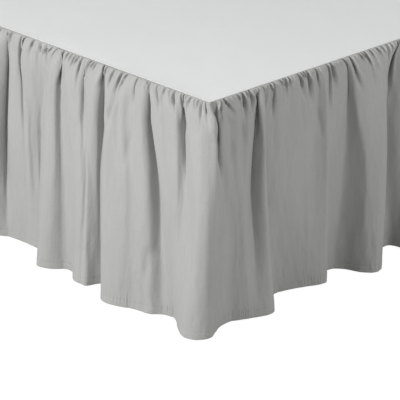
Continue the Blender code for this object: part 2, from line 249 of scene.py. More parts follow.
SIDE_GATHERS = (
    (8, 1.6, 1.8, 30, 5), (23, 5.9, 1.6, 32, 14), (33, 2.2, 1.3, 16, 1), (42, 2.2, 1.2, 14, 2),
    (52, 2.8, 1.3, 18, 2), (63, 5.9, 1.9, 46, 1), (72, 2.5, 1.3, 16, -1), (84, 2.2, 1.3, 14, 1),
    (95, 12.9, 2.2, 90, -2.2), (106, 5.2, 1.3, 16, 2), (116, 10.3, 2, 54, -7),
    (124, 2.8, 1.3, 18, 3), (135, 2.2, 1.3, 14, 2), (146, 3.4, 1.3, 16, 6), (159, 6.5, 1.9, 28, -2),
    (172, 2.2, 1.3, 16, 2), (187, 6.7, 1.9, 46, 9), (195, 2.5, 1.1, 12, 2), (201, 5.6, 1.5, 16, 2),
    (213, 2.2, 1.3, 14, 2), (226, 2.5, 1.4, 40, 3), (240, 2.2, 1.3, 18, 8), (254, 7.5, 1.9, 90, 4),
    (268, 2.2, 1.4, 22, 4), (280, 2.2, 1.3, 16, 2), (291, 3.4, 1.5, 20, 7),
    (307, 11.9, 2.1, 58, 10), (317, 2.2, 1.2, 12, 2), (331, 4.6, 1.4, 16, 1),
    (344, 5.1, 1.6, 42, 3), (357, 4, 1.4, 20, 3), (365, 2.2, 1.2, 14, 2), (373, 3.7, 1.4, 24, 8),
    (386, 2.8, 1.3, 18, 4), (399, 7.1, 1.8, 38, 5), (408, 4.6, 1.5, 16, 2), (418, 2.2, 1.3, 12, 1),
    (430, 11.3, 2.1, 90, 1), (444, 2.8, 1.4, 20, 3),
)
# The gathers that fill the rest of the seam (mm): their spacing, the least room for one as a share
# of the closest spacing, a weak one's sink, half width and length, what the strongest has besides,
# and how far they lean.
GATHER_SPACING = (5.5, 15)
GATHER_ROOM = 0.75
WEAK_GATHER = (2.0, 1.3, 16)
STRONG_EXTRA = (9.0, 0.9, 50)
GATHER_LEAN = 6
GATHER_SEED = 72

# A gather's shape. It starts at the seam with a share of its sink and has all of it by
# GATHER_START (mm). Its half width grows from one factor at the top, by the next, on its way down.
# Its cross-section falls off with this power, and is worked out for this many half widths.
GATHER_SEAM_SHARE = 0.35
GATHER_START = 3
GATHER_TOP_WIDTH = 0.55
GATHER_WIDENING = 1.1
GATHER_PROFILE = 1.5
GATHER_REACH = 7
# The small ridge on the side that it leans to: its share of the sink, and its place and half
# width in half widths of the gather.
RIDGE_SHARE = 0.35
RIDGE_PLACE = 2.6
RIDGE_HALF_WIDTH = 1.2
# A gather leans over no more than this share of the room to the next. The first and the last have
# this much room at the ends (mm).
LEAN_SHARE = 0.36
END_ROOM = 9

# A gather drawn in further than FIRM_SINK bounds the puffs and starts as a short slit. The slit's
# half width and how square it is, its sink as a factor on the gather's and its bounds, where it
# starts and how soon it is deep, and its length as a share of the gather's and its bounds (mm).
FIRM_SINK = 2.4
SLIT_HALF_WIDTH = 1.6
SLIT_PROFILE = 4
SLIT_SINK = 2.6
SLIT_SINKS = (7, 17)
SLIT_TOP = 1.2
SLIT_START = 2.5
SLIT_LENGTH = 0.55
SLIT_REACH = (11.0, 34.0)

# The puffs between firm gathers: the widest gap that still makes them bigger, the power that makes
# them full rather than pointed, how soon they rise and how far down they last (mm), how quickly
# they fade there, and how far they stand out and lift, as shares of the gap.
PUFF_WIDEST = 20
PUFF_ROUNDNESS = 0.45
PUFF_RISE = 2.2
PUFF_LAST = 34
PUFF_FADE = 1.3
PUFF_OUT = 0.19
PUFF_LIFT = 0.1
# All the cloth just below the seam stands out by up to this much more, rising and fading over
# these depths (mm).
SWELL_OUT = 3.4
SWELL_RISE = 3.2
SWELL_LAST = 70
# Round the corner the cloth lies flat on the deck's edge, with no puffs, for about this far (mm).
CORNER_CALM = 13.0

# How far the cloth moves along as it leaves the seam, on the foot and on the sides, and how soon,
# and over what distances that changes at the ends and the far corner, and at the near corner (mm).
TILT = (-3.6, 1.8)
TILT_REACH = 9.0
TILT_CHANGE = 20
CORNER_TILT_CHANGE = 18

# Single creases and soft troughs below them: where each starts and ends (distance from the corner
# and depth below the seam), half its width, and how far it is sunk; a ridge is negative (mm). The
# first on the side is the narrow pocket under the corner.
Crease = namedtuple("Crease", "top_at top low_at low half_width sink")
# They fade in and out at their ends, the sooner the higher these factors are, and their
# cross-section falls off with this power.
CREASE_FADE_IN = 3.5
CREASE_FADE_OUT = 2.2
CREASE_PROFILE = 1.7
FOOT_CREASES = (
    (404, 12, 398, 44, 4, 2.0),
    (398, 40, 380, 62, 4, 2.0),
    (366, 16, 354, 34, 3, 2.0),
    (352, 46, 372, 72, 3, 2.0),
    (344, 54, 364, 80, 2.5, -1.4),
    (326, 20, 330, 50, 4, 1.8),
    (312, 14, 312, 44, 4, 1.8),
    (272, 70, 288, 150, 8, 2.0),
    (440, 120, 424, 190, 5, 1.2),
    (412, 150, 384, 230, 6, 1.8),
    (190, 50, 226, 130, 6, 2.4),
    (176, 20, 205, 96, 4, -1.4),
    (146, 30, 158, 150, 5, 3.0),
    (46, 14, 45, 66, 4.5, 5.0),
    (-12, 6, -22, 56, 6, -3.4),
    (9, 10, 3, 74, 3.5, 2.4),
    (194, 40, 200, 110, 4, 2.4),
    (432, 50, 434, 110, 3, 2.2),
    (110, 52, 92, 100, 3, 1.2),
    (96, 54, 82, 112, 3, 1.2),
    (120, 330, 100, 386, 6, 2.0),
    (102, 260, 112, 340, 7, 4.0),
    (39, 38, 28, 62, 3, 2.2),
    (26, 60, 36, 90, 4, 1.8),
    (20, 20, 4, 60, 5, 2.5),
)
SIDE_CREASES = (
    (9, 18, 9, 84, 2.4, 12),
    (17.5, 2, 18, 44, 2.2, -2.0),
    (22, 22, 40, 50, 3, 1.8),
    (40, 70, 36, 120, 4, 2.0),
    (62, 40, 66, 90, 3, 1.4),
    (103, 60, 105, 190, 3.5, -1.5),
    (113, 60, 116, 190, 5, 2.2),
    (116, 150, 118, 420, 4, -1.4),
    (127, 150, 130, 400, 8, 2.4),
    (355, 10, 361, 90, 6, 2.4),
    (22, 80, 20, 300, 6, 2.2),
    (190, 30, 206, 120, 4, 1.6),
    (232, 62, 240, 130, 4, 2.0),
    (284, 30, 276, 150, 3, 1.0),
    (294, 40, 284, 190, 3, 1.0),
    (210, 190, 222, 380, 4, -0.8),
    (342, 10, 354, 60, 3.5, 1.8),
    (356, 10, 376, 60, 4, 2.4),
    (402, 20, 382, 74, 4, 2.6),
)

# The slight ups and downs all over: wavelengths and heights, how far down they are at their full
# height, how much they slant, the length of their beats in wavelengths, and by what share and over
# what lengths their height varies on the way down (mm).
UNEVEN_WAVES = ((90, 0.9), (52, 0.7), (31, 0.5), (19, 0.3), (12, 0.16), (8, 0.09))
UNEVEN_START = 40
UNEVEN_SLANT = 0.25
UNEVEN_BEATS = (2.3, 4.1)
UNEVEN_FALL = 0.25
UNEVEN_FALL_LENGTHS = (35, 80)
UNEVEN_SEED = 82

# The hem's puckers (wavelengths, beats, height and reach) and the groove of its stitching (mm).
PUCKER_WAVES = (5.2, 7.1, 9.7)
PUCKER_BEATS = (22, 45)
PUCKER_HEIGHT = 0.42
PUCKER_REACH = 8
STITCH_SINK = 0.22
STITCH_REACH = 0.9

# How far in from the deck's edge the cloth may come, at depths below the seam: it stays out of the
# deck's turned edge, then of the box spring, and is free below that.
OBSTACLE_DEPTHS = (0.0, 0.0045, 0.0098, 0.0125, 0.22, 0.25)
OBSTACLE_INSETS = (-0.0006, -0.0006, -0.0002, 0.0064, 0.0064, 0.2)

# Where the cloth has its lines of points: at these depths below the seam (mm), then a step apart
# as far as BODY_END above the hem's edge (metres), then at these heights above that edge (mm), and
# at these again on the inside of the hem (mm).
NEAR_SEAM_DEPTHS = (
    0, 1, 2, 3.2, 4.6, 6, 7.5, 9, 10.8, 12.8, 15, 17.5, 20, 23, 26.5, 30, 34, 38.5, 43, 48, 54, 60,
)
BODY_STEP = 0.007
BODY_END = 0.038
NEAR_HEM_HEIGHTS = (34, 28, 23, 18.5, 15.5, 13.5, 12.7, 12, 11.3, 10, 8, 5.5, 3, 1.4, 0.4)
HEM_INNER_HEIGHTS = (0, 0.6, 3, 7, 11.5)
# The hem's stitching: its height above the edge, and its line of points, counted from the edge.
STITCH_HEIGHT = 0.012
STITCH_LINE = NEAR_HEM_HEIGHTS.index(12) - len(NEAR_HEM_HEIGHTS)
# How far behind the front the turned-up cloth lies, and its share at each of its lines.
HEM_INSET = 0.0007
HEM_INSET_SHARES = (0.45, 1, 1, 1, 0.8)
# The line of points along which the cloth's length is measured for its threads.
MEASURED_LINE = 30

# Where it has its columns: at most these steps apart and at least these, over a near stretch
# counted from the corner at +X and beyond it (mm), and in each gather and slit at these half
# widths from its middle.
NEAR_STRETCH = (-640, 480)
NEAR_STEP = 2.4
FAR_STEP = 6.0
LEAST_NEAR_STEP = 0.42
LEAST_FAR_STEP = 1.0
NEAR_GATHER_COLUMNS = (-2.2, -1.2, 0, 1.2, 2.2)
FAR_GATHER_COLUMNS = (-1.5, 0, 1.5)
SLIT_COLUMNS = (-1.8, -1.3, -0.8, 0.8, 1.3, 1.8)


def smoothstep(x):
    x = np.clip(x, 0, 1)
    return x * x * (3 - 2 * x)


def from_far_end(rows, length):
    """The same folds, counted from the other end of an edge of that length."""
    return [
        row._replace(
            seam_at=length - row.seam_at, upper_at=length - row.upper_at,
            middle_at=length - row.middle_at, hem_at=length - row.hem_at,
        )
        for row in rows
    ]


def repeated_folds(start, end, rising, seed):
    """Crests and valleys by turns from start to end, uneven, as fold rows."""
    random = np.random.RandomState(seed)
    count = max(2, round((end - start) / FOLD_SPACING))
    steps = random.uniform(*SPACING_SHARES, count + 1)
    places = start + np.cumsum(steps)[:-1] / steps.sum() * (end - start)
    rows = []
    for place in places:
        hem_out = random.uniform(*(CREST_OUT if rising else VALLEY_OUT))
        drift = random.uniform(-FOLD_DRIFT, FOLD_DRIFT)
        if rising:
            upper_out = max(LEAST_CREST_OUT, CREST_UPPER * hem_out)
            middle_out = max(LEAST_CREST_OUT, CREST_MIDDLE * hem_out)
        else:
            upper_out = random.uniform(*VALLEY_UPPER_OUT)
            middle_out = max(LEAST_VALLEY_OUT, VALLEY_MIDDLE * hem_out)
        rows.append(Fold(
            place, place + UPPER_DRIFT * drift, upper_out, place + MIDDLE_DRIFT * drift,
            middle_out, place + drift, hem_out, random.uniform(*FOLD_ROUND),
        ))
        rising = not rising
    return rows


def plan_levels(rows, corner, along, outward):
    """Fold rows as places in plan: an array of (level, row, x and y), from the seam to the hem."""
    seam_at, upper_at, upper_out, middle_at, middle_out, hem_at, hem_out = (
        np.array(rows, float)[:, :-1].T / MM
    )
    near_at = seam_at + NEAR_SHARE * (upper_at - seam_at)
    near_out = SEAM_OUT + NEAR_SHARE * (upper_out - SEAM_OUT)
    at = np.stack((seam_at, near_at, upper_at, middle_at, hem_at))
    out = np.stack((np.full(len(rows), SEAM_OUT), near_out, upper_out, middle_out, hem_out))
    return np.array(corner) + at[..., None] * np.array(along) + out[..., None] * np.array(outward)


def smooth_curve(knots, values, pulls, places):
    """Values at places on the curve that passes through every knot's value and leaves it in line
    with its neighbours. A pull above 1 makes the curve round the knot more fully."""
    knots = np.asarray(knots, float)
    values = np.asarray(values, float)
    slopes = np.gradient(values, axis=0) / np.gradient(knots)[:, None] * np.asarray(pulls)[:, None]
    index = np.clip(np.searchsorted(knots, places, "right") - 1, 0, len(knots) - 2)
    span = (knots[index + 1] - knots[index])[:, None]
    t = (places[:, None] - knots[index][:, None]) / span
    return (
        (2 * t**3 - 3 * t**2 + 1) * values[index]
        + (t**3 - 2 * t**2 + t) * span * slopes[index]
        + (3 * t**2 - 2 * t**3) * values[index + 1]
        + (t**3 - t**2) * span * slopes[index + 1]
    )


class RufflePath:
    """The whole ruffle in plan, from the head of the bed at -X round the foot to the head at +X.
    A place along it is a mean of the distances along the stated levels, in millimetres."""

    def __init__(self):
        width, length = WIDTH * MM, LENGTH * MM
        lobe = [Fold(*row) for row in CORNER_LOBE_FOLDS]
        pleat = [Fold(*row) for row in CORNER_PLEAT_FOLDS]
        head_end = from_far_end([Fold(*HEAD_END_FOLD)], length)

        foot = [Fold(*row) for row in FOOT_FOLDS]
        far_lobe = from_far_end(lobe, width)
        foot_rest = repeated_folds(foot[0].seam_at, far_lobe[0].seam_at, False, FOOT_FOLD_SEED)
        foot_rows = [*far_lobe[::-1], *foot_rest[::-1], *foot, *lobe]

        side = [Fold(*row) for row in SIDE_FOLDS]
        right_rest = repeated_folds(side[-1].seam_at, length, False, RIGHT_FOLD_SEED)
        left_rest = repeated_folds(pleat[-1].seam_at, length, True, LEFT_FOLD_SEED)
        right_rows = [*pleat, *side, *right_rest, *head_end]
        left_rows = [*pleat, *left_rest, *head_end][::-1]

        edges = (
            (left_rows, (-HALF, FOOT_Y), (0, 1), (-1, 0)),
            (foot_rows, (HALF, FOOT_Y), (-1, 0), (0, -1)),
            (right_rows, (HALF, FOOT_Y), (0, 1), (1, 0)),
        )
        self.levels = np.concatenate([plan_levels(*edge) for edge in edges], axis=1)
        self.rounds = np.array([row.round for rows, *_ in edges for row in rows])
        steps = MM * np.linalg.norm(np.diff(self.levels, axis=1), axis=2)
        self.knots = np.concatenate(([0.0], np.cumsum(steps[STATED_LEVELS].mean(axis=0))))
        corner_row = len(left_rows) + len(foot_rows)
        seam = np.concatenate(([0.0], np.cumsum(steps[0])))
        self.seam = seam - seam[corner_row]
        self.joins = self.knots[
            [len(left_rows) - 1 - STRIP_JOIN_ROW, corner_row + STRIP_JOIN_ROW]
        ]

    def from_seam(self, run):
        """The place of a distance along the seam, counted from the foot corner at +X."""
        return np.interp(run, self.seam, self.knots)

    def to_seam(self, places):
        return np.interp(places, self.knots, self.seam)

    def plan(self, places, depth):
        """x and y of the cloth's smooth folds at one depth."""
        lines = [smooth_curve(self.knots, level, self.rounds, places) for level in self.levels]
        flat = np.stack(lines).reshape(len(self.levels), -1)
        even = np.ones(len(self.levels))
        return smooth_curve(LEVEL_DEPTHS, flat, even, np.array([depth])).reshape(-1, 2)


def all_gathers(start, end, placed, seed):
    """The placed gathers and, wherever they leave room, smaller ones at uneven spacing."""
    random = np.random.RandomState(seed)
    gathers = list(placed)
    places = sorted([start, *(g.at for g in placed), end])
    for low, high in zip(places, places[1:]):
        at = low + random.uniform(*GATHER_SPACING)
        while at < high - GATHER_ROOM * GATHER_SPACING[0]:
            strong = random.random_sample() ** 2
            shape = (weak + extra * strong for weak, extra in zip(WEAK_GATHER, STRONG_EXTRA))
            gathers.append(Gather(at, *shape, random.uniform(-GATHER_LEAN, GATHER_LEAN)))
            at += random.uniform(*GATHER_SPACING)
    return sorted(gathers)


def column_places(path, gathers):
    """Places along the path for the cloth's columns: close together in each gather, and closer
    over the near stretch. Each join between two strips has a column."""
    low, high = path.from_seam(np.array(NEAR_STRETCH))
    first, last = path.knots[0], path.knots[-1]
    marks = [first, last]
    for gather in gathers:
        near = low < gather.at < high
        offsets = NEAR_GATHER_COLUMNS if near else FAR_GATHER_COLUMNS
        marks.extend(gather.at + gather.half_width * x for x in offsets)
        if near and gather.sink > FIRM_SINK:
            marks.extend(gather.at + SLIT_HALF_WIDTH * x for x in SLIT_COLUMNS)
    places = [first]
    for mark in sorted(mark for mark in marks if first < mark <= last):
        near = low < mark < high
        gap = mark - places[-1]
        if gap < (LEAST_NEAR_STEP if near else LEAST_FAR_STEP):
            continue
        parts = math.ceil(gap / (NEAR_STEP if near else FAR_STEP))
        places += list(places[-1] + gap * np.arange(1, parts + 1) / parts)
    places = np.array(places)
    places[-1] = last
    joins = [int(np.argmin(np.abs(places - join))) for join in path.joins]
    places[joins] = path.joins
    return places, joins


def leaning(gathers, places, depth):
    """How far each column has moved along at each depth with the gathers' leans, without crossing
    the next."""
    at = np.array([gather.at for gather in gathers])
    before = np.diff(at, prepend=at[0] - END_ROOM)
    after = np.diff(at, append=at[-1] + END_ROOM)
    room = LEAN_SHARE * np.minimum(before, after)
    lean = np.clip([gather.lean for gather in gathers], -room, room)
    length = np.array([gather.length for gather in gathers])
    knots = np.concatenate(([places[0]], at, [places[-1]]))
    shifts = [
        np.interp(places, knots, np.concatenate(([0], lean * np.clip(d / length, 0, 1), [0])))
        for d in depth
    ]
    return np.array(shifts)


def tilting(run, depth):
    """How far the cloth has moved along at each depth as it leaves the seam at a slant: half of
    the tilt one way at the seam, and half of it the other way well below."""
    foot, side = TILT
    first, far_corner, last = run[0], -WIDTH * MM, run[-1]
    turns = (
        (first, 0), (first + TILT_CHANGE, -side),
        (far_corner - TILT_CHANGE, -side), (far_corner + TILT_CHANGE, foot),
        (-CORNER_TILT_CHANGE, foot), (CORNER_TILT_CHANGE, side),
        (last - TILT_CHANGE, side), (last, 0),
    )
    tilt = np.interp(run, *zip(*turns))
    return tilt * (0.5 - np.exp(-depth / TILT_REACH))[:, None]


def gather_push(gather, along, depth):
    """How far one gather pushes the cloth out: a furrow with a small ridge beside it."""
    down = np.clip(depth / gather.length, 0, 1)[:, None]
    fade = np.cos(np.pi / 2 * down)
    width = gather.half_width * (GATHER_TOP_WIDTH + GATHER_WIDENING * down)
    start = GATHER_SEAM_SHARE + (1 - GATHER_SEAM_SHARE) * smoothstep(depth / GATHER_START)[:, None]
    across = (along - gather.at - gather.lean * down) / width
    beside = (across - np.sign(gather.lean) * RIDGE_PLACE) / RIDGE_HALF_WIDTH
    ridge = RIDGE_SHARE * np.exp(-beside ** 2)
    return gather.sink * start * fade * (ridge - np.exp(-np.abs(across) ** GATHER_PROFILE))


def slit_push(gather, along, depth):
    """How far the slit at the top of a firm gather pushes the cloth out."""
    down = np.clip(depth / gather.length, 0, 1)[:, None]
    apart = along - gather.at - gather.lean * down
    reach = np.clip(SLIT_LENGTH * gather.length, *SLIT_REACH)
    window = smoothstep((depth - SLIT_TOP) / SLIT_START) * (1 - smoothstep(2 * depth / reach - 1))
    profile = np.exp(-np.abs(apart / SLIT_HALF_WIDTH) ** SLIT_PROFILE)
    return -np.clip(SLIT_SINK * gather.sink, *SLIT_SINKS) * window[:, None] * profile


def gathering(gathers, places, along, calm, depth):
    """How far the gathers and the small puffs between them push the cloth out, in millimetres, and
    how far the puffs lift it at the seam."""
    push = np.zeros(along.shape)
    for gather in gathers:
        reach = GATHER_REACH * gather.half_width + abs(gather.lean)
        near = np.abs(places - gather.at) < reach
        push[:, near] += gather_push(gather, along[:, near], depth)
        if gather.sink > FIRM_SINK:
            push[:, near] += slit_push(gather, along[:, near], depth)
    centres = np.array([g.at for g in gathers if g.sink > FIRM_SINK])
    index = np.clip(np.searchsorted(centres, places) - 1, 0, len(centres) - 2)
    gap = centres[index + 1] - centres[index]
    across = np.clip((places - centres[index]) / gap, 0, 1)
    round_puff = np.minimum(gap, PUFF_WIDEST) * np.sin(np.pi * across) ** PUFF_ROUNDNESS
    round_puff = round_puff * calm
    window = (1 - np.exp(-depth / PUFF_RISE)) * np.exp(-((depth / PUFF_LAST) ** PUFF_FADE))
    push += PUFF_OUT * round_puff * window[:, None]
    lift = PUFF_LIFT * round_puff * (depth * np.exp(1 - depth / PUFF_RISE) / PUFF_RISE)[:, None]
    swell = SWELL_OUT * (1 - np.exp(-depth / SWELL_RISE)) * np.exp(-depth / SWELL_LAST)
    return push + calm * swell[:, None], lift


def creasing(creases, along, depth):
    """How far the single creases push the cloth out, in millimetres, where along is each point's
    distance from the corner."""
    push = np.zeros(along.shape)
    for crease in creases:
        t = (depth[:, None] - crease.top) / (crease.low - crease.top)
        centre = crease.top_at + (crease.low_at - crease.top_at) * t
        window = smoothstep(CREASE_FADE_IN * t) * smoothstep(CREASE_FADE_OUT * (1 - t))
        profile = np.exp(-np.abs((along - centre) / crease.half_width) ** CREASE_PROFILE)
        push -= crease.sink * window * profile
    return push


def unevenness(run, depth):
    """The slight ups and downs that cloth keeps all over, in millimetres."""
    random = np.random.RandomState(UNEVEN_SEED)
    push = np.zeros(run.shape)
    for wavelength, height in UNEVEN_WAVES:
        for _ in range(2):
            phase = random.uniform(0, 2 * np.pi)
            slant = random.uniform(-UNEVEN_SLANT, UNEVEN_SLANT)
            swell = random.uniform(0, 2 * np.pi)
            beat = np.sin(run / (wavelength * random.uniform(*UNEVEN_BEATS)) + swell)
            fall = np.sin(depth / random.uniform(*UNEVEN_FALL_LENGTHS) + swell)
            fall = 1 - UNEVEN_FALL + UNEVEN_FALL * fall
            wave = np.sin(2 * np.pi * (run + slant * depth[:, None]) / wavelength + phase)
            push += 0.5 * height * wave * beat * fall[:, None]
    return push


def hem_puckers(run, height):
    """Small puckers below and above the hem's stitching, in some places only, in millimetres."""
    random = np.random.RandomState(UNEVEN_SEED)
    push = np.zeros(run.shape)
    from_stitches = height - MM * STITCH_HEIGHT
    near = np.exp(-(from_stitches / PUCKER_REACH) ** 2)[:, None]
    for wavelength in PUCKER_WAVES:
        phase = random.uniform(0, 2 * np.pi)
        beat = np.clip(np.sin(run / random.uniform(*PUCKER_BEATS) + phase), 0, 1) ** 2
        push += PUCKER_HEIGHT * beat * np.sin(2 * np.pi * run / wavelength + phase) * near
    stitched = np.exp(-(from_stitches / STITCH_REACH) ** 2)[:, None]
    return push - STITCH_SINK * stitched


def keep_outside(points, depth):
    """Moves points that went into the deck's edge or the box spring straight out of it."""
    inset = np.interp(depth, OBSTACLE_DEPTHS, OBSTACLE_INSETS)
    half = (HALF - inset)[:, None]
    foot = (FOOT_Y + inset)[:, None]
    x, y = points[..., 0], points[..., 1]
    side_deep = half - np.abs(x)
    foot_deep = y - foot
    inside = (side_deep > 0) & (foot_deep > 0)
    to_side = inside & (side_deep <= foot_deep)
    to_foot = inside & (side_deep > foot_deep)
    points[..., 0] = np.where(to_side, np.sign(x) * half, x)
    points[..., 1] = np.where(to_foot, foot, y)
    return points


def grid_object(name, points, uv, material_made):
    """A smooth mesh through a grid of points, with its cloth coordinates as a UV map in metres."""
    lines, columns = points.shape[:2]
    index = np.arange(lines * columns).reshape(lines, columns)
    corners = (index[:-1, :-1], index[1:, :-1], index[1:, 1:], index[:-1, 1:])
    faces = np.stack([corner.ravel() for corner in corners], axis=1)
    mesh = bpy.data.meshes.new(name)
    mesh.from_pydata(points.reshape(-1, 3).tolist(), [], faces.tolist())
    mesh.shade_smooth()
    layer = mesh.uv_layers.new(name="cloth")
    layer.data.foreach_set("uv", uv.reshape(-1, 2)[faces.ravel()].ravel())
    mesh.materials.append(material_made)
    made = bpy.data.objects.new(name, mesh)
    bpy.context.scene.collection.objects.link(made)
    return made


def hem_inside(plan, outward):
    """The cloth turned up inside the hem, a little behind the front and up to the stitching."""
    lines = []
    for height, share in zip(HEM_INNER_HEIGHTS, HEM_INSET_SHARES):
        up = height / MM / STITCH_HEIGHT
        place = plan[-1] * (1 - up) + plan[STITCH_LINE] * up
        place = place - outward[-1] * (HEM_INSET * share)
        level = np.full((len(place), 1), HEM_HEIGHT + height / MM)
        lines.append(np.concatenate((place, level), axis=1))
    return np.stack(lines)


def ruffle_grid(path, places, gathers, foot_creases, side_creases):
    """The whole ruffle as a fine grid of points, and the same grid's cloth coordinates."""
    near_seam = np.array(NEAR_SEAM_DEPTHS) / MM
    body = np.arange(NEAR_SEAM_DEPTHS[-1] / MM + BODY_STEP, DROP - BODY_END, BODY_STEP)
    near_hem = DROP - np.array(NEAR_HEM_HEIGHTS) / MM
    depth = np.concatenate((near_seam, body, near_hem))
    depth_mm = depth * MM
    run = path.to_seam(places)

    leant = places + leaning(gathers, places, depth_mm)
    along = leant + tilting(run, depth_mm) * (leant > places[0]) * (leant < places[-1])
    plan = np.stack([path.plan(line, d) for line, d in zip(along, depth)])
    ahead = np.gradient(plan, axis=1)
    ahead /= np.linalg.norm(ahead, axis=2, keepdims=True)
    outward = np.stack((ahead[..., 1], -ahead[..., 0]), axis=2)

    calm = 1 - np.exp(-((run / CORNER_CALM) ** 2))
    push, lift = gathering(gathers, places, leant, calm, depth_mm)
    push += creasing(foot_creases, (plan[..., 0] - HALF) * MM, depth_mm) * (run <= 0)
    push += creasing(side_creases, (plan[..., 1] - FOOT_Y) * MM, depth_mm) * (run > 0)
    push += unevenness(along, depth_mm) * smoothstep(depth_mm / UNEVEN_START)[:, None]
    push += hem_puckers(along, (DROP - depth) * MM)
    plan = keep_outside(plan + outward * push[..., None] / MM, depth)

    height = (SEAM_HEIGHT - depth)[:, None] + lift / MM
    front = np.concatenate((plan, height[..., None]), axis=2)
    points = np.concatenate((front, hem_inside(plan, outward)))
    steps = np.linalg.norm(np.diff(plan[MEASURED_LINE], axis=0), axis=1)
    across = np.concatenate(([0.0], np.cumsum(steps)))
    down = np.concatenate((depth, DROP + np.array(HEM_INNER_HEIGHTS) / MM))
    uv = np.stack(np.broadcast_arrays(across[None, :], down[:, None]), axis=2)
    return points, uv


# Materials. Colours are linear; threads, wrinkles and bump heights are in metres.

FINE_THREAD = 0.0005
TICKING_THREAD = 0.0008
STREAK_HEIGHT = 0.00024
THREAD_HEIGHT = 0.00006

def add_node(tree, kind, inputs=None, **settings):
    """A shader node with its settings, its inputs linked to sockets or set to values."""
    made = tree.nodes.new(kind)
    for key, value in settings.items():
        setattr(made, key, value)
    for key, value in (inputs or {}).items():
        socket = made.inputs[key]
        if isinstance(value, bpy.types.NodeSocket):
            tree.links.new(value, socket)
        else:
            socket.default_value = value
    return made


def maths(tree, operation, *values):
    return add_node(tree, "ShaderNodeMath", dict(enumerate(values)), operation=operation).outputs[0]


def mixed(tree, one, other, share):
    """The mean of two heights, the first with this share."""
    parts = maths(tree, "MULTIPLY", one, share), maths(tree, "MULTIPLY", other, 1 - share)
    return maths(tree, "ADD", *parts)


def new_material(name, roughness, **constants):
    """A material, its node tree and its shader, with constants on the shader's own sockets."""
    made = bpy.data.materials.new(name)
    made.use_nodes = True
    shader = made.node_tree.nodes["Principled BSDF"]
    shader.inputs["Roughness"].default_value = roughness
    for key, value in constants.items():
        shader.inputs[key.replace("_", " ")].default_value = value
    return made, made.node_tree, shader


def noise(tree, vector, scale, detail=2.0, roughness=0.5):
    inputs = {"Vector": vector, "Scale": scale, "Detail": detail, "Roughness": roughness}
    return add_node(tree, "ShaderNodeTexNoise", inputs).outputs["Fac"]


def stretched(tree, vector, scale):
    return add_node(tree, "ShaderNodeMapping", {"Vector": vector, "Scale": scale}).outputs[0]


def tinted(tree, factor, low, high, dark, light):
    """A colour between dark and light as factor goes from low to high."""
    ramp = add_node(tree, "ShaderNodeMapRange", {0: factor, 1: low, 2: high}).outputs[0]
    mix = add_node(tree, "ShaderNodeMix", {0: ramp}, data_type="RGBA")
    mix.inputs[6].default_value = (*dark, 1)
    mix.inputs[7].default_value = (*light, 1)
    return mix.outputs[2]


def bump(tree, height, distance, strength=1.0, normal=None):
    inputs = {"Height": height, "Distance": distance, "Strength": strength}
    if normal:
        inputs["Normal"] = normal
    return add_node(tree, "ShaderNodeBump", inputs).outputs[0]


def plain_weave(tree, vector, thread):
    """The height of a plain weave with threads this wide, over and under by turns."""
    parts = add_node(tree, "ShaderNodeSeparateXYZ", {0: vector}).outputs
    waves = [
        maths(tree, "SINE", maths(tree, "MULTIPLY", part, math.pi / thread)) for part in parts[:2]
    ]
    return maths(tree, "MULTIPLY", *waves)


def woven_cloth(name, dark, light, vector_of, thread, wrinkle):
    """Plain woven cloth: threads, uneven yarn that shows as fine streaks, and slight crumpling.
    The mapping scales are features per metre along and across."""
    made, tree, shader = new_material(
        name, 0.92, Sheen_Weight=0.06, Sheen_Roughness=0.5, Specular_IOR_Level=0.18
    )
    vector = vector_of(tree)
    down = noise(tree, stretched(tree, vector, (700, 26, 1)), 1, 2)
    across = noise(tree, stretched(tree, vector, (26, 700, 1)), 1, 2)
    blotch = noise(tree, stretched(tree, vector, (22, 9, 1)), 1, 3)
    crumple = noise(tree, stretched(tree, vector, (70, 34, 1)), 1, 4, 0.55)
    streaks = mixed(tree, down, across, 0.6)
    colour = tinted(tree, mixed(tree, streaks, blotch, 0.7), 0.35, 0.65, dark, light)
    tree.links.new(colour, shader.inputs["Base Color"])
    normal = bump(tree, crumple, wrinkle)
    normal = bump(tree, streaks, STREAK_HEIGHT, 0.8, normal)
    normal = bump(tree, plain_weave(tree, vector, thread), THREAD_HEIGHT, 0.8, normal)
    tree.links.new(normal, shader.inputs["Normal"])
    return made


def cloth_coordinates(tree):
    return add_node(tree, "ShaderNodeUVMap", uv_map="cloth").outputs[0]


def object_coordinates(tree):
    return add_node(tree, "ShaderNodeTexCoord").outputs["Object"]


def skirt_material():
    dark, light = (0.432, 0.432, 0.422), (0.48, 0.48, 0.47)
    return woven_cloth("skirt_cloth", dark, light, cloth_coordinates, FINE_THREAD, 0.0014)


def deck_material():
    dark, light = (0.87, 0.88, 0.875), (0.888, 0.898, 0.893)
    return woven_cloth("deck_cloth", dark, light, object_coordinates, FINE_THREAD, 0.0005)


def ticking_material():
    dark, light = (0.70, 0.69, 0.65), (0.80, 0.79, 0.76)
    return woven_cloth("ticking", dark, light, object_coordinates, TICKING_THREAD, 0.0012)


def timber_material():
    """Clear-finished softwood, its grain along each board."""
    made, tree, shader = new_material("timber", 0.5, Specular_IOR_Level=0.35)
    vector = stretched(tree, object_coordinates(tree), (3, 3, 26))
    warp = noise(tree, vector, 1.4, 3)
    rings = add_node(
        tree, "ShaderNodeTexWave",
        {"Vector": vector, "Scale": 2.2, "Distortion": 5.0, "Detail": 3.0, "Detail Scale": 1.2},
    ).outputs["Fac"]
    fibre = noise(tree, stretched(tree, object_coordinates(tree), (60, 60, 900)), 1, 3)
    dark, light = (0.50, 0.33, 0.18), (0.70, 0.52, 0.33)
    colour = tinted(tree, mixed(tree, rings, warp, 0.6), 0.2, 0.8, dark, light)
    tree.links.new(colour, shader.inputs["Base Color"])
    tree.links.new(bump(tree, fibre, 0.0004, 0.6), shader.inputs["Normal"])
    return made


# The deck.

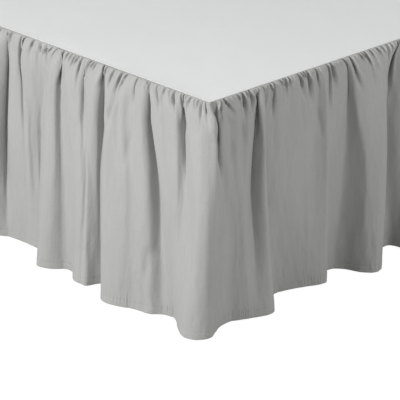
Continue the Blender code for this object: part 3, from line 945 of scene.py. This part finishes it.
DECK_CORNER_RADIUS = 0.005
DECK_EDGE_ROUND = 0.0001
# The deck's turned border stands a little above the rest. Its step is faint, but along the foot
# it grows to its full height between these two distances from the side at +X.
DECK_BORDER = 0.0062
DECK_BORDER_STEP = 0.0026
DECK_BORDER_RISE = 0.0006
DECK_BORDER_SHOWS = (-0.30, -0.20)
DECK_BORDER_FAINT = 0.25
DECK_BORDER_FOOT = 0.001
# How far in from the deck's edge its lines of points are, as far as they are uneven; a negative
# one is on the edge that is turned down.
DECK_EDGE_STEPS = (
    -0.0075, -0.0055, -0.0038, -0.0024, -0.0012, -0.0004, -0.0001, 0.0, 0.0001, 0.0002, 0.0006,
    0.0012, 0.0022, 0.0034, 0.0040, 0.0045, 0.0049, 0.0052, 0.0055, 0.0059, 0.0064, 0.0072, 0.0085,
    0.0105, 0.0135, 0.018, 0.025, 0.035, 0.047, 0.060,
)
DECK_STEP = 0.016
# The deck's wrinkles: wavelengths (metres) and heights (mm), and how far in from the edge they
# reach their full height.
DECK_WAVES = ((0.42, 0.9), (0.23, 0.5), (0.11, 0.22), (0.06, 0.08))
DECK_WAVES_START = 0.03
DECK_SEED = 31


def deck_height(inset, x, y):
    """How far below its flat the deck lies, this far in from its edge: a rounded edge, and the
    step down from the turned border."""
    rounding = np.clip((DECK_EDGE_ROUND - inset) / DECK_EDGE_ROUND, 0, 1)
    edge = DECK_EDGE_ROUND * (1 - np.sqrt(1 - rounding**2))
    below = np.clip(-inset, 0, None)
    low, high = DECK_BORDER_SHOWS
    at_foot = y - FOOT_Y < inset + DECK_BORDER_FOOT
    shown = smoothstep((x - HALF - low) / (high - low)) * at_foot
    rise = DECK_BORDER_RISE * (DECK_BORDER_FAINT + (1 - DECK_BORDER_FAINT) * shown)
    step = smoothstep((inset - DECK_BORDER + DECK_BORDER_STEP) / DECK_BORDER_STEP)
    return edge + below + rise * step


def deck_waves(x, y):
    """The deck's slight wrinkles, in metres."""
    random = np.random.RandomState(DECK_SEED)
    height = np.zeros(x.shape)
    for wavelength, size in DECK_WAVES:
        for _ in range(3):
            turn = random.uniform(0, np.pi)
            phase = random.uniform(0, 2 * np.pi)
            along = x * math.cos(turn) + y * math.sin(turn)
            height += size / 3 * np.sin(2 * np.pi * along / wavelength + phase)
    return height / MM


def add_deck(cloth):
    """The flat cloth on the box spring, with rounded corners at the foot and its edge turned down
    at the foot and both long sides."""
    inner = np.arange(DECK_EDGE_STEPS[-1] + DECK_STEP, WIDTH / 2, DECK_STEP)
    insets = np.concatenate((DECK_EDGE_STEPS, inner))
    x = np.concatenate((insets - HALF, (HALF - insets)[::-1]))
    further = np.arange(insets[-1] + DECK_STEP, LENGTH, DECK_STEP)
    y = FOOT_Y + np.concatenate((insets, further, [LENGTH]))
    x, y = np.meshgrid(x, y)
    centre_x = HALF - DECK_CORNER_RADIUS
    centre_y = FOOT_Y + DECK_CORNER_RADIUS
    over_x = np.clip(np.abs(x) - centre_x, 0, None)
    over_y = np.clip(centre_y - y, 0, None)
    most = np.maximum(over_x, over_y)
    length = np.maximum(np.hypot(over_x, over_y), 1e-9)
    reach = np.minimum(most, DECK_CORNER_RADIUS) / length
    to_edge = np.minimum(HALF - np.abs(x), y - FOOT_Y)
    inset = np.where(most > 0, DECK_CORNER_RADIUS - most, to_edge)
    flat_x = np.sign(x) * (np.minimum(np.abs(x), centre_x) + over_x * reach)
    flat_y = np.maximum(y, centre_y) - over_y * reach
    waves = deck_waves(flat_x, flat_y) * smoothstep(inset / DECK_WAVES_START)
    height = DECK_TOP - deck_height(inset, flat_x, flat_y) + waves
    points = np.stack((flat_x, flat_y, height), axis=2)[::-1]
    made = grid_object("deck_sheet", points, points[..., :2], cloth)
    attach(made, "root")
    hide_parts("deck")


def add_ruffles(cloth):
    """The three ruffles: one strip of cloth as a grid, cut at the joins in the corner pleats. On
    the foot, distances from the corner count backwards along the path."""
    path = RufflePath()
    placed = [Gather(-at, *rest, -lean) for at, *rest, lean in FOOT_GATHERS]
    placed += [Gather(*row) for row in SIDE_GATHERS]
    foot_creases = [
        Crease(-top_at, top, -low_at, *rest) for top_at, top, low_at, *rest in FOOT_CREASES
    ]
    side_creases = [Crease(*row) for row in SIDE_CREASES]
    gathers = [
        gather._replace(at=float(path.from_seam(gather.at)))
        for gather in all_gathers(path.seam[0], path.seam[-1], placed, GATHER_SEED)
    ]
    places, joins = column_places(path, gathers)
    points, uv = ruffle_grid(path, places, gathers, foot_creases, side_creases)
    ends = (0, *joins, len(places) - 1)
    side_flat = (LENGTH * SIDE_FULLNESS, CUT_HEIGHT)
    foot_flat = (WIDTH * FOOT_FULLNESS, CUT_HEIGHT)
    flats = (side_flat, foot_flat, side_flat)
    for side, first, last, flat in zip(("left", "foot", "right"), ends, ends[1:], flats):
        strip = slice(first, last + 1)
        made = grid_object(f"ruffle_{side}_sheet", points[:, strip], uv[:, strip], cloth)
        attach(made, "root")
        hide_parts(f"ruffle_{side}")


def finish_cad_nodes():
    """The box spring and the timber base keep their CAD shape and take these materials."""
    ticking, timber = ticking_material(), timber_material()
    for name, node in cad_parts.items():
        if name == "box_spring":
            node.material_slots[0].material = ticking
        elif name.startswith(("rail", "slat", "foot_")):
            node.material_slots[0].material = timber


# The studio.

CORNER = Vector((HALF, FOOT_Y, 0))
# The camera: its place from the foot of the corner at +X, and the direction it looks from.
CAMERA_AZIMUTH = math.radians(46.3)
CAMERA_ELEVATION = math.radians(23.2)
CAMERA_LENS = 180
SENSOR_WIDTH = 36
CAMERA_PLACE = Vector((2.0536, -1.9835, 1.4485))
# Lights, turned to a point up that corner: azimuth from straight in front of the foot towards +X,
# elevation, size and power.
Light = namedtuple("Light", "name azimuth elevation size power")
LIGHTS = (
    Light("key", -12, 28, 1.0, 136),
    Light("fill", 110, 30, 1.5, 58),
)
LIGHT_DISTANCE = 4.0
LIGHT_TARGET = CORNER + Vector((0, 0, 0.2))
WORLD_STRENGTH = 0.30
# The floor: half its side, how much light it throws back, and its paleness and glow as seen.
FLOOR_REACH = 12
FLOOR_BOUNCE = 0.42
FLOOR_PALENESS = 0.15
FLOOR_GLOW = 0.96


def add_light(name, azimuth, elevation, size, power):
    turn, rise = math.radians(azimuth), math.radians(elevation)
    place = LIGHT_DISTANCE * Vector((
        math.sin(turn) * math.cos(rise), -math.cos(turn) * math.cos(rise), math.sin(rise)
    ))
    made = bpy.data.lights.new(name, "AREA")
    made.size = size
    made.energy = power
    light = bpy.data.objects.new(name, made)
    light.location = LIGHT_TARGET + place
    light.rotation_euler = place.to_track_quat("Z", "Y").to_euler()
    bpy.context.scene.collection.objects.link(light)


def add_camera():
    data = bpy.data.cameras.new("camera")
    data.lens = CAMERA_LENS
    data.sensor_width = SENSOR_WIDTH
    camera = bpy.data.objects.new("camera", data)
    back = Vector((
        math.sin(CAMERA_AZIMUTH) * math.cos(CAMERA_ELEVATION),
        -math.cos(CAMERA_AZIMUTH) * math.cos(CAMERA_ELEVATION),
        math.sin(CAMERA_ELEVATION),
    ))
    camera.location = CORNER + CAMERA_PLACE
    camera.rotation_euler = back.to_track_quat("Z", "Y").to_euler()
    bpy.context.scene.collection.objects.link(camera)
    bpy.context.scene.camera = camera


def add_floor():
    """A plain pale floor that looks as white as a lit studio sweep, and throws back less light."""
    made = bpy.data.materials.new("studio_floor")
    made.use_nodes = True
    tree = made.node_tree
    tree.nodes.clear()
    dull = add_node(tree, "ShaderNodeBsdfDiffuse", {"Color": (*[FLOOR_BOUNCE] * 3, 1)})
    pale = add_node(tree, "ShaderNodeBsdfDiffuse", {"Color": (*[FLOOR_PALENESS] * 3, 1)})
    glow = add_node(tree, "ShaderNodeEmission", {"Color": (1, 1, 1, 1), "Strength": FLOOR_GLOW})
    bright = add_node(tree, "ShaderNodeAddShader", {0: pale.outputs[0], 1: glow.outputs[0]})
    seen = add_node(tree, "ShaderNodeLightPath").outputs["Is Camera Ray"]
    shaders = {0: seen, 1: dull.outputs[0], 2: bright.outputs[0]}
    mix = add_node(tree, "ShaderNodeMixShader", shaders)
    add_node(tree, "ShaderNodeOutputMaterial", {"Surface": mix.outputs[0]})
    mesh = bpy.data.meshes.new("floor")
    turns = ((-1, -1), (1, -1), (1, 1), (-1, 1))
    mesh.from_pydata([(FLOOR_REACH * x, FLOOR_REACH * y, 0) for x, y in turns], [], [(0, 1, 2, 3)])
    mesh.materials.append(made)
    floor = bpy.data.objects.new("floor", mesh)
    bpy.context.scene.collection.objects.link(floor)


def add_world():
    """A soft even light from all round, on a white background."""
    world = bpy.data.worlds.new("studio")
    world.use_nodes = True
    tree = world.node_tree
    background = tree.nodes["Background"]
    seen = add_node(tree, "ShaderNodeLightPath").outputs["Is Camera Ray"]
    levels = {0: seen, 1: 0.0, 2: 1.0, 3: WORLD_STRENGTH, 4: 1.0}
    strength = add_node(tree, "ShaderNodeMapRange", levels)
    background.inputs["Color"].default_value = (1, 1, 1, 1)
    tree.links.new(strength.outputs[0], background.inputs["Strength"])
    bpy.context.scene.world = world


def add_studio():
    add_floor()
    add_world()
    for light in LIGHTS:
        add_light(*light)
    add_camera()
    bpy.context.scene.view_settings.view_transform = "Standard"


add_ruffles(skirt_material())
add_deck(deck_material())
finish_cad_nodes()
add_studio()
